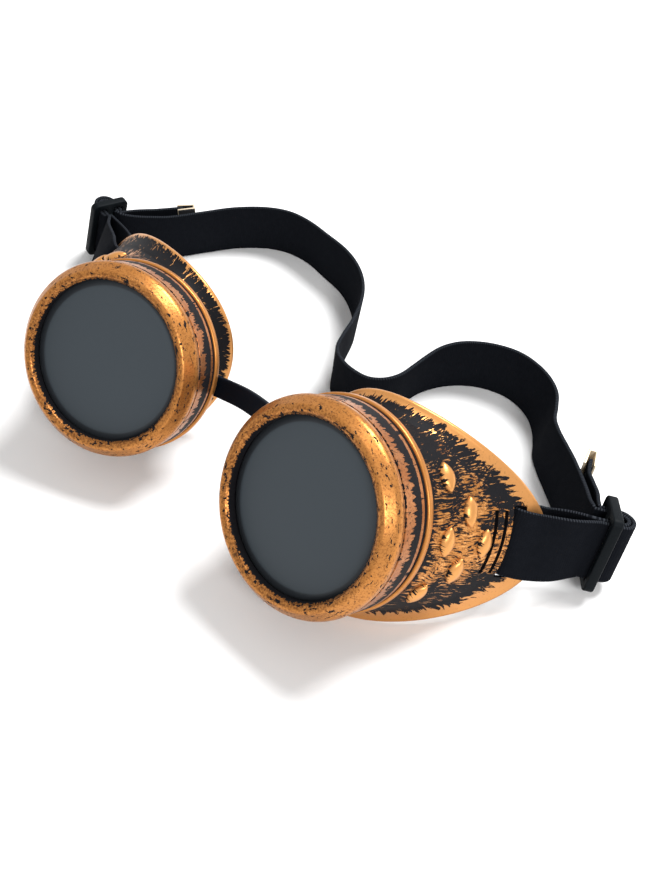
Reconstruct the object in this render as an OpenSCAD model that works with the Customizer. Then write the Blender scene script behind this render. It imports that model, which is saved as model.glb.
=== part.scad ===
/* [Lens] */
// Diameter of the dark lens
lens_d = 50; // [44:0.5:56]
// Thickness of the dark lens
lens_t = 2; // [1.5:0.1:3]
// How far the ring lip reaches over the edge of the lens
lens_cover = 0.5; // [0.3:0.1:1.5]
// Gap round the lens inside its ring
lens_gap = 0.3; // [0.2:0.05:0.5]

/* [Lens ring] */
// Distance from the lens edge to the outside of the ring
ring_wall = 5; // [4.4:0.1:6]
// Length of the ring along the lens axis
ring_len = 14.6; // [12:0.2:18]
// Thickness of the lip in front of the lens
lip_t = 2.5; // [2:0.1:3]
// Width of the dark groove behind the bead
groove_w = 0.6; // [0.4:0.1:1]
// Depth of the groove
groove_deep = 0.5; // [0.3:0.1:0.8]

/* [Screw thread] */
// Radial running clearance between ring and neck
thread_gap = 0.05; // [0.02:0.01:0.1]
// Wall of the ring outside the thread
thread_wall = 2.5; // [2:0.1:2.8]
// Wall of the threaded neck
neck_wall = 3; // [2.2:0.1:3.6]
// Clear space between the ring and the collar on the cup
collar_gap = 0.4; // [0.3:0.1:1]

/* [Gasket] */
// Thickness of the sealing gasket behind the lens
gasket_t = 1.2; // [0.8:0.1:2]
// Width of the gasket
gasket_w = 2.4; // [1.5:0.1:3]
// Play between gasket and neck
gasket_gap = 0.3; // [0.2:0.05:0.6]

/* [Eye cup] */
// Length of the raised collar behind the ring
collar_len = 3; // [2:0.2:5]
// Wall of the cup shell
cup_wall = 2; // [1.6:0.1:2.6]
// Half width of the rim across the face
rim_half_w = 34.7; // [33:0.1:40]
// Half height of the rim
rim_half_h = 33.1; // [30:0.1:36]
// How far the rim is set towards the temple
rim_shift = 9.1; // [5:0.1:10]
// Narrowing of the rim towards the temple
rim_egg = 0.139; // [0:0.001:0.18]
// Depth of the rim behind the lens opening, on the lens axis
rim_depth = 24.6; // [23:0.1:32]
// Slope of the rim towards the temple
rim_slope = 0.02; // [0:0.005:0.2]
// Wrap of the rim round the face
rim_wrap = 0.0174; // [0.01:0.0002:0.02]
// How far the rim comes forward at the cheek
rim_cheek = 0.0006; // [0:0.0002:0.006]
// Fullness of the rim at its corners
rim_full = 0.026; // [0:0.001:0.05]
// Width of the flared lip round the rim
lip_w = 4.6; // [3:0.1:6]
// Rise of the lip from the rim edge to the body
lip_rise = 3.4; // [2:0.1:5]

/* [Vents and bumps] */
// Length of the two vent slits
slit_len = 18.4; // [10:0.2:20]
// Width of a vent slit
slit_w = 1.3; // [0.8:0.1:1.8]
// Distance from slit to slit
slit_step = 3.6; // [3:0.1:4.5]
// Rows of raised bumps
bump_rows = 3; // [1:1:3]
// Length of a bump
bump_len = 8.4; // [5:0.2:10]
// Width of a bump
bump_w = 4.8; // [3:0.2:6]
// Height of a bump
bump_h = 1.5; // [0.8:0.1:2]

/* [Nose strip] */
// Width of the rubber nose strip
strip_w = 6.6; // [6:0.2:10]
// Thickness of the nose strip
strip_t = 2; // [1.4:0.1:2.2]
// Length of the head that keeps the strip in its slot
strip_head = 12; // [10:0.5:15]
// Play of the strip in its slot, on each side
strip_gap = 0.8; // [0.5:0.05:1]

/* [Head strap] */
// Width of the webbing
strap_w = 20; // [18:0.5:21]
// Thickness of the webbing
strap_t = 1.2; // [0.9:0.1:1.3]
// Gap between two plies that lie on each other
ply_gap = 0.3; // [0.2:0.05:0.4]
// Height of the strap slot in the cup
cup_slot_w = 4.4; // [3.8:0.1:5]

/* [Slider] */
// Thickness of the slider
slider_t = 3; // [2.4:0.1:3.4]
// Width of the slider's end bars
slider_bar = 2.5; // [2:0.1:3]
// Width of its middle bar
slider_mid = 3; // [2.4:0.1:3.1]
// Play of the two plies in a slot, on each side
slider_gap = 0.35; // [0.2:0.05:0.5]
// Play of the strap's edges in a slot
slider_side = 0.5; // [0.3:0.1:1]

/* [Strap end clip] */
// Length of the metal end clip
clip_len = 7; // [5:0.5:10]
// Thickness of its sheet
clip_t = 0.7; // [0.6:0.1:1.2]
// Spread of the two leaves at their open end
clip_open = 3.8; // [3:0.1:5]
// How far the webbing reaches into the clip
clip_bite = 2.5; // [2:0.5:4]

/* [Hidden] */

// The left side is -1 and the right side +1, as seen from the front.
LEFT = -1;
RIGHT = 1;
function pick(s, pair) = s < 0 ? pair[0] : pair[1];

// How the goggles lie: distance between the lens centres, then the turn,
// the upward tilt and the roll of each cup, left first.
lens_span = 83.94;
cup_yaw = [21.6, -1.0];
cup_tilt = [30.7, 32.1];
cup_roll = [26.8, 8.3];

// Shift that brings the middle of the footprint to the origin.
home = [22.24, -52.33, 0];

fine = 96;

// Sizes that follow from the ones above.
lens_r = lens_d / 2;
opening_r = lens_r - lens_cover;
ring_r = lens_r + ring_wall;
seat_r = lens_r + lens_gap;
thread_r = ring_r - thread_wall;
neck_r = thread_r - thread_gap;
neck_in = neck_r - neck_wall;
bead_rise = 0.8;
lens_top = -lip_t - 0.3;
gasket_top = lens_top - lens_t;
neck_top = gasket_top - gasket_t - gasket_gap;
seat_end = neck_top + 0.3;
ring_end = -ring_len;
collar_top = ring_end - collar_gap;
collar_end = collar_top - collar_len;
band_step = 0.3;
shell_r = ring_r - 0.6;
inner_r = neck_in + 0.4;

// Turns about the three axes, and the frame of a cup.
function turn_x(a, v) = [v[0], v[1] * cos(a) - v[2] * sin(a), v[1] * sin(a) + v[2] * cos(a)];
function turn_y(a, v) = [v[0] * cos(a) + v[2] * sin(a), v[1], v[2] * cos(a) - v[0] * sin(a)];
function turn_z(a, v) = [v[0] * cos(a) - v[1] * sin(a), v[0] * sin(a) + v[1] * cos(a), v[2]];
function unit(v) = v / norm(v);
function mix(a, b, k) = a + (b - a) * k;
function cup_dir(s, v) = turn_z(pick(s, cup_yaw),
    turn_x(90 - pick(s, cup_tilt), turn_z(s * pick(s, cup_roll), [s * v[0], v[1], v[2]])));

// The cup shell. Its own frame has the lens opening at z = 0 with +z out of the
// lens, +x towards the temple and +y up. A ring of the shell is a list of
// points, and the rim is an egg-shaped line that wraps round the face.
around = 60;
function rim_z(x, y) = rim_cheek * pow(min(y, 0), 2) - rim_depth - rim_slope * x - rim_wrap * x * x;
function rim_point(a, inset, rise) =
    let (x = rim_shift + (rim_half_w - inset) * cos(a),
         y = (rim_half_h - inset) * sin(a) * (1 - rim_egg * cos(a) + rim_full * cos(2 * a)))
    [x, y, rim_z(x, y) + rise];
function neck_point(a, r, z) = [r * cos(a), r * sin(a), z];

// The lip rises more at the temple than at the nose.
function edge_rise(a) = lip_rise + 0.8 * (1 + cos(a));

// One ring of the body's outer wall, from the collar (k = 0) to the lip (k = 1),
// drawn in a little at the middle.
function hollow(a) = 0.25 - 0.55 * cos(a);
function body_ring(k, r, inset, drop, z) = [for (i = [0:around - 1])
    let (a = 360 * i / around,
         p = mix(neck_point(a, r, z), rim_point(a, inset, edge_rise(a) - drop), k),
         pull = 1 - hollow(a) * sin(180 * k) / norm([p[0], p[1]]))
    [p[0] * pull, p[1] * pull, p[2]]];

// One ring of the lip: how far in from the rim, and the share of its rise.
function lip_ring(inset, share, drop) = [for (i = [0:around - 1])
    let (a = 360 * i / around)
    rim_point(a, inset, share * edge_rise(a) - drop)];

lip_steps = [
    [0.86, 0.8], [0.68, 0.52], [0.5, 0.3], [0.34, 0.14], [0.2, 0.03]
];
edge_drop = 0.9;
back_drop = 2.3;
shell_in = collar_end + 1;
shell_rings = concat(
    [for (k = [0, 0.12, 0.32, 0.54, 0.77, 1]) body_ring(k, shell_r, lip_w, 0, shell_in)],
    [for (e = lip_steps) lip_ring(e[0] * lip_w, e[1], 0)],
    [lip_ring(0.25, 0, edge_drop * 0.35), lip_ring(0, 0, edge_drop),
     lip_ring(0.35, 0, back_drop * 0.8), lip_ring(1.1, 0, back_drop)],
    [for (k = [0.5, 0.8]) lip_ring(k * lip_w + cup_wall * 0.55, 1 - k * k * 0.2 - 0.8 * (1 - k),
        back_drop * (1.4 - 0.4 * k))],
    [for (k = [1, 0.77, 0.54, 0.32, 0.12, 0])
        body_ring(k, inner_r, lip_w + cup_wall, cup_wall * 0.5, shell_in)]
);
shell_points = [for (ring = shell_rings) for (p = ring) p];

// Each cup sinks until the lowest point of its rim touches the ground.
function lowest(s) = min([for (p = shell_points) cup_dir(s, p)[2]]);
cup_height = [-lowest(LEFT), -lowest(RIGHT)];
function cup_point(s, v) = [s * lens_span / 2, 0, pick(s, cup_height)] + cup_dir(s, v);

module in_cup(s) {
    translate([s * lens_span / 2, 0, pick(s, cup_height)])
        rotate([0, 0, pick(s, cup_yaw)])
            rotate([90 - pick(s, cup_tilt), 0, 0])
                rotate([0, 0, s * pick(s, cup_roll)])
                    mirror([s < 0 ? 1 : 0, 0, 0])
                        children();
}

// A closed loft through rings with the same number of points.
function loft_sides(rows, n) = [for (j = [0:rows - 2]) for (i = [0:n - 1])
    let (k = (i + 1) % n)
    for (f = [[j * n + i, j * n + k, (j + 1) * n + k], [j * n + i, (j + 1) * n + k, (j + 1) * n + i]])
    f];

module shell() {
    rows = len(shell_rings);
    last = (rows - 1) * around;
    cap = [for (i = [0:around - 1])
        let (k = (i + 1) % around)
        for (f = [[last + i, last + k, k], [last + i, k, i]])
        f];
    polyhedron(shell_points, concat(loft_sides(rows, around), cap), convexity = 6);
}

// The wall's outer radius at a height on the temple side, for slits and bumps.
function wall_share(a, z) = (shell_in - z) / (shell_in - rim_point(a, lip_w, edge_rise(a))[2]);
function wall_point(a, z) =
    let (k = wall_share(a, z),
         p = mix(neck_point(a, shell_r, shell_in), rim_point(a, lip_w, edge_rise(a)), k),
         pull = 1 - hollow(a) * sin(180 * k) / norm([p[0], p[1]]))
    [p[0] * pull, p[1] * pull, z];
function wall_xy(a, z) = let (p = wall_point(a, z)) [p[0], p[1]];

// A pointed dome on the wall: rings of a lens-shaped outline, sunk at its foot.
bump_sides = 12;
bump_sink = 0.9;
function bump_outline(a, k, h) = [
    bump_w / 2 * k * sin(a) * (1 - 0.25 * pow(cos(a), 2)),
    bump_len / 2 * k * cos(a), h];
bump_rings = [for (e = [[1.12, -bump_sink], [1, 0], [0.8, 0.55 * bump_h], [0.45, 0.9 * bump_h]])
    [for (i = [0:bump_sides - 1]) bump_outline(360 * i / bump_sides, e[0], e[1])]];
bump_points = concat([for (ring = bump_rings) for (p = ring) p], [[0, 0, bump_h]]);

module bump() {
    n = bump_sides;
    top = len(bump_points) - 1;
    foot = [for (i = [1:n - 2]) [0, i + 1, i]];
    crown = [for (i = [0:n - 1]) [top - n + i, top - n + (i + 1) % n, top]];
    polyhedron(bump_points, concat(foot, loft_sides(len(bump_rings), n), crown), convexity = 2);
}

bump_spread = 35.5;
bump_centre = 4.5;
bump_top = -24;
bump_row_step = 6.4;
bump_lean = 68;

module bumps() {
    for (row = [0:bump_rows - 1]) {
        count = bump_rows - row;
        for (i = [0:count - 1]) {
            a = bump_centre + bump_spread * (i - (count - 1) / 2);
            translate(wall_point(a, bump_top - row * bump_row_step))
                rotate([0, 0, a])
                    rotate([0, bump_lean, 0])
                        bump();
        }
    }
}

// Cuts in the temple side: two vent slits and the strap slot.
slot_mid = 2;
cup_slot_z = -48.2;
slit_far = cup_slot_z + slit_step + 1.1;
slot_play = 0.7;
temple_x = 38;
cut_deep = 9;

module temple_cuts() {
    for (z = [slit_far, slit_far + slit_step]) {
        translate([temple_x, slot_mid, z])
            cube([cut_deep + 4, slit_len, slit_w], center = true);
    }
    translate([temple_x, slot_mid, cup_slot_z])
        cube([cut_deep, strap_w + 2 * slot_play, cup_slot_w], center = true);
}

// Cut on the nose side for the nose strip, square to the wall.
nose_a = 159;
nose_z = collar_end - 2.6;
nose_r = norm(wall_xy(nose_a, nose_z));
module at_nose(r) {
    rotate([0, 0, nose_a])
        translate([r, 0, nose_z])
            children();
}
module nose_cut() {
    at_nose(nose_r - 2.5)
        cube([cut_deep + 1, strip_w + 2 * strip_gap, strip_t + 2 * strip_gap], center = true);
}

// The collar on the cup has a thin step at its front, then the threaded neck.
step_len = 0.7;
step_in = 0.5;
module neck() {
    collar_round = 0.6;
    rotate_extrude($fn = fine)
        difference() {
            union() {
                translate([neck_in, collar_end])
                    square([neck_r - neck_in, neck_top - collar_end]);
                translate([neck_in, collar_end])
                    square([ring_r + band_step - neck_in - collar_round, collar_len - step_len]);
                translate([neck_in, collar_end + collar_round])
                    square([ring_r + band_step - neck_in, collar_len - step_len - 2 * collar_round]);
                for (z = [collar_end + collar_round, collar_top - step_len - collar_round]) {
                    translate([ring_r + band_step - collar_round, z])
                        circle(r = collar_round, $fn = 32);
                }
                translate([neck_in, collar_end])
                    square([ring_r - step_in - neck_in, collar_len]);
            }
        }
}

module cup(s) {
    color("peru")
        in_cup(s)
            difference() {
                union() {
                    shell();
                    neck();
                    bumps();
                }
                temple_cuts();
                nose_cut();
            }
}

// The ring in section: a full front bead made of two arcs, a groove and a plain
// band, bored for the lens and the thread. Each arc has a centre and a radius.
nose_round = [opening_r + 1.9, bead_rise - 1.7, 1.7];
side_round = [ring_r - 3, bead_rise - 4.4, 3];
edge_step = 0.3;
band_r = ring_r - band_step;
groove_z = side_round[1] - 1.7;
arc_steps = 10;
function tangent_angle(a, b) =
    atan2(b[1] - a[1], b[0] - a[0]) + acos((a[2] - b[2]) / norm([b[0] - a[0], b[1] - a[1]]));
function arc(c, from, to) = [for (i = [0:arc_steps])
    let (a = mix(from, to, i / arc_steps))
    [c[0] + c[2] * cos(a), c[1] + c[2] * sin(a)]];
ring_section = let (lean = tangent_angle(nose_round, side_round)) concat(
    [[opening_r, -lip_t], [opening_r, -edge_step]],
    arc(nose_round, 180 - asin((-edge_step - nose_round[1]) / nose_round[2]), lean),
    arc(side_round, lean, -acos((band_r - side_round[0]) / side_round[2])),
    [[band_r, groove_z], [band_r - groove_deep, groove_z],
     [band_r - groove_deep, groove_z - groove_w], [band_r, groove_z - groove_w],
     [band_r, ring_end], [thread_r, ring_end], [thread_r, seat_end],
     [seat_r, seat_end], [seat_r, -lip_t]]
);

module lens_ring(s) {
    color("chocolate")
        in_cup(s)
            rotate_extrude($fn = fine)
                polygon(ring_section);
}

module lens(s) {
    color("dimgray")
        in_cup(s)
            translate([0, 0, gasket_top])
                cylinder(h = lens_t, r = lens_r, $fn = fine);
}

module gasket(s) {
    color("black")
        in_cup(s)
            translate([0, 0, gasket_top - gasket_t])
                difference() {
                    cylinder(h = gasket_t, r = lens_r, $fn = fine);
                    translate([0, 0, -1])
                        cylinder(h = gasket_t + 2, r = lens_r - gasket_w, $fn = fine);
                }
}

// Smooth line through stations. Each station is a list of six numbers: a point
// and a direction. The slope at a station is shared by the two spans it joins.
function gap_of(a, b) = norm([b[0] - a[0], b[1] - a[1], b[2] - a[2]]);
function slope_at(p, i) =
    let (a = p[max(i - 1, 0)], b = p[min(i + 1, len(p) - 1)])
    (b - a) / gap_of(a, b);
function smooth_at(p, i, t) =
    let (long = gap_of(p[i], p[i + 1]),
         a = p[i] * (1 + 2 * t) + slope_at(p, i) * long * t,
         b = p[i + 1] * (3 - 2 * t) - slope_at(p, i + 1) * long * (1 - t))
    a * (1 - t) * (1 - t) + b * t * t;
function smooth(p, n) = concat(
    [for (i = [0:len(p) - 2]) for (k = [0:n - 1]) smooth_at(p, i, k / n)],
    [p[len(p) - 1]]);

// A flat band swept along stations of six numbers: a point on its centre line
// and the direction across its width.
function place_of(q) = [q[0], q[1], q[2]];
function across_of(q) = [q[3], q[4], q[5]];
function station(point, across) = [point[0], point[1], point[2], across[0], across[1], across[2]];
function heading(q, i) = unit(place_of(q[min(i + 1, len(q) - 1)]) - place_of(q[max(i - 1, 0)]));
function band_ring(q, i, w, t) =
    let (way = heading(q, i),
         raw = across_of(q[i]),
         side = unit(raw - way * (raw * way)),
         flat = cross(way, side),
         c = place_of(q[i]))
    [for (e = [[1, 1], [-1, 1], [-1, -1], [1, -1]]) c + side * w / 2 * e[0] + flat * t / 2 * e[1]];

module band(q, w, t) {
    n = 4;
    last = (len(q) - 1) * n;
    points = [for (i = [0:len(q) - 1]) for (p = band_ring(q, i, w, t)) p];
    sides = [for (f = loft_sides(len(q), n)) [f[0], f[2], f[1]]];
    polyhedron(points, concat(sides, [[0, 1, 2], [0, 2, 3]],
        [[last, last + 2, last + 1], [last, last + 3, last + 2]]), convexity = 10);
}

// The nose strip runs from slot to slot, with a head inside each cup. It comes
// straight out of each slot, past the collar, before it bends.
head_r = nose_r - 8.2;
head_t = 1.8;
head_h = 2.8;
nose_run = 4.5;
function nose_station(s, r, rise) = station(
    cup_point(s, [r * cos(nose_a), r * sin(nose_a), nose_z + rise]),
    cup_dir(s, [-sin(nose_a), cos(nose_a), 0] * -1));
nose_arch = [0, 0.6, 1.2, 0, 0, 0];
nose_line = smooth([
    nose_station(LEFT, head_r, 0),
    nose_station(LEFT, nose_r - 3.5, 0),
    nose_station(LEFT, nose_r + nose_run, 0),
    (nose_station(LEFT, nose_r + nose_run, 0) + nose_station(RIGHT, nose_r + nose_run, 0)) / 2 + nose_arch,
    nose_station(RIGHT, nose_r + nose_run, 0),
    nose_station(RIGHT, nose_r - 3.5, 0),
    nose_station(RIGHT, head_r, 0)
], 8);

module nose_strip() {
    color("#202024") {
        band(nose_line, strip_w, strip_t);
        for (s = [LEFT, RIGHT]) {
            in_cup(s)
                at_nose(head_r)
                    cube([head_t, strip_head, head_h], center = true);
        }
    }
}

// Frame of a slider: x from its front bar to its rear bar, z along its slots.
// Its place is the middle of the front bar, and its turn is about x, y and z.
slider_lift = [1.9, 2.7];
slider_high = strap_w + 2 * slider_side + 2 * slider_bar;
slider_at = [
    [-138.3, 61.4, slider_high / 2 + slider_lift[0]],
    [99.7, 62.1, slider_high / 2 + slider_lift[1]]
];
slider_turn = [[16, 8.5, 82.5], [11, 13.5, 128]];
function slider_dir(s, v) =
    let (a = pick(s, slider_turn))
    turn_z(a[2], turn_y(a[1], turn_x(a[0], v)));
// The three numbers: along x, out of the cup side, and along z.
function slider_point(s, v) = pick(s, slider_at) + slider_dir(s, [v[0], -s * v[1], v[2]]);

// Two plies share each slot, one on each side of its middle.
slider_slot = 2 * strap_t + ply_gap + 2 * slider_gap;
ply_off = (strap_t + ply_gap) / 2;
front_slot = (slider_bar + slider_slot) / 2;
mid_bar = slider_bar / 2 + slider_slot + slider_mid / 2;
rear_slot = 2 * mid_bar - front_slot;
slider_len = 2 * mid_bar + slider_bar;
slider_round = 2.2;

module slider(s) {
    color("#303034")
        translate(pick(s, slider_at))
            rotate(pick(s, slider_turn))
                rotate([90, 0, 0])
                    translate([-slider_bar / 2, -slider_high / 2, -slider_t / 2])
                        linear_extrude(slider_t)
                            difference() {
                                union() {
                                    translate([slider_round, 0])
                                        square([slider_len - 2 * slider_round, slider_high]);
                                    translate([0, slider_round])
                                        square([slider_len, slider_high - 2 * slider_round]);
                                    for (x = [slider_round, slider_len - slider_round]) {
                                        for (y = [slider_round, slider_high - slider_round]) {
                                            translate([x, y])
                                                circle(r = slider_round, $fn = 32);
                                        }
                                    }
                                }
                                for (x = [front_slot, rear_slot]) {
                                    translate([x + slider_bar / 2 - slider_slot / 2, slider_bar])
                                        square([slider_slot, slider_high - 2 * slider_bar]);
                                }
                            }
}

// Stations of the webbing in a slider's frame and in a cup's frame.
function on_slider(s, x, out) = station(slider_point(s, [x, out, 0]), slider_dir(s, [0, 0, 1]));
function on_cup(s, x, z) = station(cup_point(s, [x, slot_mid, z]), cup_dir(s, [0, 1, 0]));

// The webbing turns round the slider's middle bar twice, one loop in the other.
// The loop ends where the loose tail begins, just after the second turn. Each
// ply leaves the slider straight for a short run, left side first.
bend_out = 2.5;
tail_start = bend_out - 0.5;
slot_in = -2.2;
loop_run = [3.8, 1.6];
strap_run = [2, 2.2];
tail_run = [1.9, 0.8];
bend_steps = 8;
function bend(s, r) = [for (i = [0:bend_steps])
    let (a = 180 * i / bend_steps)
    on_slider(s, mid_bar + r * cos(a), bend_out + r * sin(a))];
function bend_back(s, r) = [for (i = [0:bend_steps])
    let (a = 180 * i / bend_steps)
    on_slider(s, mid_bar - r * cos(a), bend_out + r * sin(a))];
inner_bend = rear_slot - mid_bar - ply_off;
outer_bend = rear_slot - mid_bar + ply_off;

// The two plies between slider and cup, and the turn through the cup's slot,
// set out from the wall at the slot: how far out, and how far behind it.
slot_wall = wall_point(0, cup_slot_z)[0];
function at_slot(s, out, back) = on_cup(s, slot_wall + out, cup_slot_z - back);
function cup_turn(s) = [
    at_slot(s, 1.483, 14.3), at_slot(s, -2.217, 10.4), at_slot(s, -4.517, 5.8),
    at_slot(s, -4.917, 2), at_slot(s, -3.617, 0), at_slot(s, -1.417, -0.3),
    at_slot(s, 0.683, 1.1), at_slot(s, 3.283, 4.1)
];
function between(a, b, k, bow) = a + (b - a) * k + [bow[0], bow[1], bow[2], 0, 0, 0];
function loop_stations(s) =
    let (turn = cup_turn(s),
         inner = on_slider(s, mid_bar - inner_bend, slot_in - pick(s, loop_run)),
         outer = on_slider(s, mid_bar - outer_bend, slot_in - pick(s, loop_run)),
         out = cup_dir(s, [1, 0, 0.6]))
    concat(
        [on_slider(s, mid_bar + inner_bend, slot_in)],
        bend(s, inner_bend),
        [on_slider(s, mid_bar - inner_bend, slot_in)],
        smooth(concat(
            [inner, between(inner, turn[0], 0.5, -0.6 * out)],
            turn,
            [between(turn[len(turn) - 1], outer, 0.5, 1.2 * out), outer]), 3),
        [on_slider(s, mid_bar - outer_bend, slot_in)],
        bend_back(s, outer_bend),
        [on_slider(s, mid_bar + outer_bend, tail_start)]
    );

module strap_loop(s) {
    color("#18181c")
        band(loop_stations(s), strap_w, strap_t);
}

// A station of webbing that stands on its edge: place, height of its lower
// edge and how far it leans for each millimetre of rise.
function standing(x, y, lift, lean_x, lean_y) =
    let (up = unit([lean_x, lean_y, 1]))
    station([x, y, lift + strap_w / 2 * up[2] + strap_t / 2 * norm([up[0], up[1]])], up);

head_line = concat(
    [on_slider(LEFT, mid_bar + inner_bend, slot_in)],
    smooth([
        on_slider(LEFT, mid_bar + inner_bend, slot_in - strap_run[0]),
        standing(-130.5, 69.9, 2.6, 0.25, 0.12),
        standing(-126.5, 73.2, 1.6, 0.15, 0.08),
        standing(-122, 78, 0.8, 0.05, 0.02),
        standing(-117.5, 84.5, 0.2, 0, -0.12),
        standing(-111, 96, 0, 0, -0.13),
        standing(-104.2, 107, 0, 0, -0.1),
        standing(-95.5, 115.6, 0, 0, -0.05),
        standing(-86.5, 120, 0, 0, 0),
        standing(-76, 120.7, 0, 0, 0.02),
        standing(-64, 118.6, 0, 0, 0.06),
        standing(-52.5, 116.2, 0, 0.05, 0.08),
        standing(-43, 112, 0, 0.12, 0.08),
        standing(-34.5, 105.8, 0, 0.16, 0.06),
        standing(-27.5, 97.5, 0, 0.16, 0.05),
        standing(-22, 87, 0, 0.18, 0.02),
        standing(-18.2, 78, 0, 0.14, 0.06),
        standing(-14, 71.8, 0, 0.06, 0.06),
        standing(-7.5, 69, 0, 0, 0),
        standing(-1, 68, 0, 0, 0),
        standing(4.2, 69, 0, 0.04, -0.02),
        standing(7.6, 72.2, 0, 0.1, 0),
        standing(9, 77.5, 0, 0.18, 0),
        standing(9, 84, 0, 0.2, 0),
        standing(9.2, 91, 0, 0.18, 0),
        standing(10.8, 97.8, 0, 0.1, 0.02),
        standing(14, 103.6, 0, 0.06, 0.04),
        standing(19.2, 108.4, 0, 0.04, 0.04),
        standing(25.5, 111.5, 0, 0.02, 0.06),
        standing(32, 112.8, 0, 0.04, 0.1),
        standing(38.5, 112, 0, 0.08, 0.13),
        standing(45, 109.4, 0, 0.15, 0.15),
        standing(50.4, 105.2, 0, 0.22, 0.14),
        standing(54.3, 100, 0, 0.24, 0.06),
        standing(57.6, 94.8, 0, 0.2, 0.08),
        standing(62, 90.8, 0, 0.16, 0.12),
        standing(67.3, 87, 0, 0.14, 0.16),
        standing(73, 82.6, 0.6, 0.12, 0.2),
        standing(78.8, 77.4, 1.6, 0.08, 0.25),
        standing(83.8, 72.6, 2.8, 0.04, 0.3),
        standing(87.6, 68.9, 3.6, 0.02, 0.31),
        on_slider(RIGHT, mid_bar + inner_bend, slot_in - strap_run[1])
    ], 2),
    [on_slider(RIGHT, mid_bar + inner_bend, slot_in)]
);

module head_strap() {
    color("#18181c")
        band(head_line, strap_w, strap_t);
}

// The loose ends behind the strap, which carry the metal clips.
tail_line = [
    [
        standing(-128.2, 76.8, 2.1, 0.15, 0.06),
        standing(-124.4, 81.8, 1.6, 0.08, 0),
        standing(-120.8, 86.8, 1.3, 0.02, -0.04),
        standing(-117.4, 91.6, 1.2, 0, -0.06)
    ],
    [
        standing(89, 70.9, 3.3, 0.02, 0.31),
        standing(86.7, 73.8, 2.8, 0.04, 0.3),
        standing(83.2, 77.1, 2.2, 0.06, 0.26),
        standing(80.1, 80.4, 1.6, 0.06, 0.22),
        standing(77.4, 86.4, 1.2, 0.04, 0.16)
    ]
];
function tail_stations(s) = concat(
    [on_slider(s, mid_bar + outer_bend, tail_start), on_slider(s, mid_bar + outer_bend, 0),
     on_slider(s, mid_bar + outer_bend, slot_in)],
    smooth(concat([on_slider(s, mid_bar + outer_bend, slot_in - pick(s, tail_run))],
        pick(s, tail_line)), 4)
);

module strap_tail(s) {
    color("#18181c")
        band(tail_stations(s), strap_w, strap_t);
}

// The clip is one folded sheet: two leaves that meet at the fold.
clip_play = 0.2;
function tail_end(s) = let (q = tail_stations(s)) q[len(q) - 1];
function clip_way(s) = let (q = tail_stations(s)) unit(place_of(q[len(q) - 1]) - place_of(q[len(q) - 2]));
function clip_yaw(s) = atan2(clip_way(s)[1], clip_way(s)[0]);
function clip_pitch(s) = -asin(clip_way(s)[2]);

function leaf(side, fold) = [
    [clip_len - clip_t, side * (fold / 2 - clip_t)],
    [0, side * (clip_open / 2 - clip_t)],
    [0, side * clip_open / 2],
    [clip_len, side * fold / 2]
];

module end_clip(s) {
    fold = strap_t + 2 * clip_t + 2 * clip_play;
    up = unit(across_of(tail_end(s)));
    color("silver")
        translate(place_of(tail_end(s)))
            rotate([0, clip_pitch(s), clip_yaw(s)])
                rotate([-asin(turn_z(-clip_yaw(s), up)[1]), 0, 0])
                    translate([-clip_bite, 0, -strap_w / 2])
                        linear_extrude(strap_w)
                            polygon(concat(leaf(1, fold), [for (i = [3:-1:0]) leaf(-1, fold)[i]]));
}

// Every node, each with its own name.
translate(home) {
    nose_strip();
    head_strap();
    cup(LEFT);  // left_cup
    lens_ring(LEFT);  // left_lens_ring
    lens(LEFT);  // left_lens
    gasket(LEFT);  // left_gasket
    strap_loop(LEFT);  // left_strap_loop
    slider(LEFT);  // left_slider
    strap_tail(LEFT);  // left_strap_tail
    end_clip(LEFT);  // left_end_clip
    cup(RIGHT);  // right_cup
    lens_ring(RIGHT);  // right_lens_ring
    lens(RIGHT);  // right_lens
    gasket(RIGHT);  // right_gasket
    strap_loop(RIGHT);  // right_strap_loop
    slider(RIGHT);  // right_slider
    strap_tail(RIGHT);  // right_strap_tail
    end_clip(RIGHT);  // right_end_clip
}
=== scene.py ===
import math
from collections import namedtuple

import bmesh
import bpy
from mathutils import Matrix, Vector


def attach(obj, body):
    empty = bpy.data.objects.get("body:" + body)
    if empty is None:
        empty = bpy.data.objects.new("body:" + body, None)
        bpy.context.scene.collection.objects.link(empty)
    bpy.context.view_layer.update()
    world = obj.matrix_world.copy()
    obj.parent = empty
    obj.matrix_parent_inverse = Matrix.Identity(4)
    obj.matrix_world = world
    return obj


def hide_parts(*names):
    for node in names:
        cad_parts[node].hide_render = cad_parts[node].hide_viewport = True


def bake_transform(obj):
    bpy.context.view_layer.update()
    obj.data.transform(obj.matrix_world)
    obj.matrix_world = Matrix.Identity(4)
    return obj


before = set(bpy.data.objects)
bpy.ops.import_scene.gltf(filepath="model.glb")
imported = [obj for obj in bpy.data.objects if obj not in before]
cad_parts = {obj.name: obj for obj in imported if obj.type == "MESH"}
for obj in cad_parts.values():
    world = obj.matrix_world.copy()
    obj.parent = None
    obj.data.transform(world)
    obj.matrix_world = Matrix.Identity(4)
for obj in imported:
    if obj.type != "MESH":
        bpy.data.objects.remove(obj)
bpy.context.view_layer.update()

MM, METRE = 0.001, 1000
LEFT, RIGHT = -1, 1
SIDES = ((LEFT, "left"), (RIGHT, "right"))

# Sizes in millimetres and angles in degrees, the same as in the part's source.
# The place of the goggles on the table, and how each cup is turned.
HOME = Vector((22.24, -52.33, 0))
LENS_SPAN = 83.94
CUP_YAW = {LEFT: 21.6, RIGHT: -1.0}
CUP_TILT = {LEFT: 30.7, RIGHT: 32.1}
CUP_ROLL = {LEFT: 26.8, RIGHT: 8.3}
CUP_HEIGHT = {LEFT: 40.6026, RIGHT: 40.5988}

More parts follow.
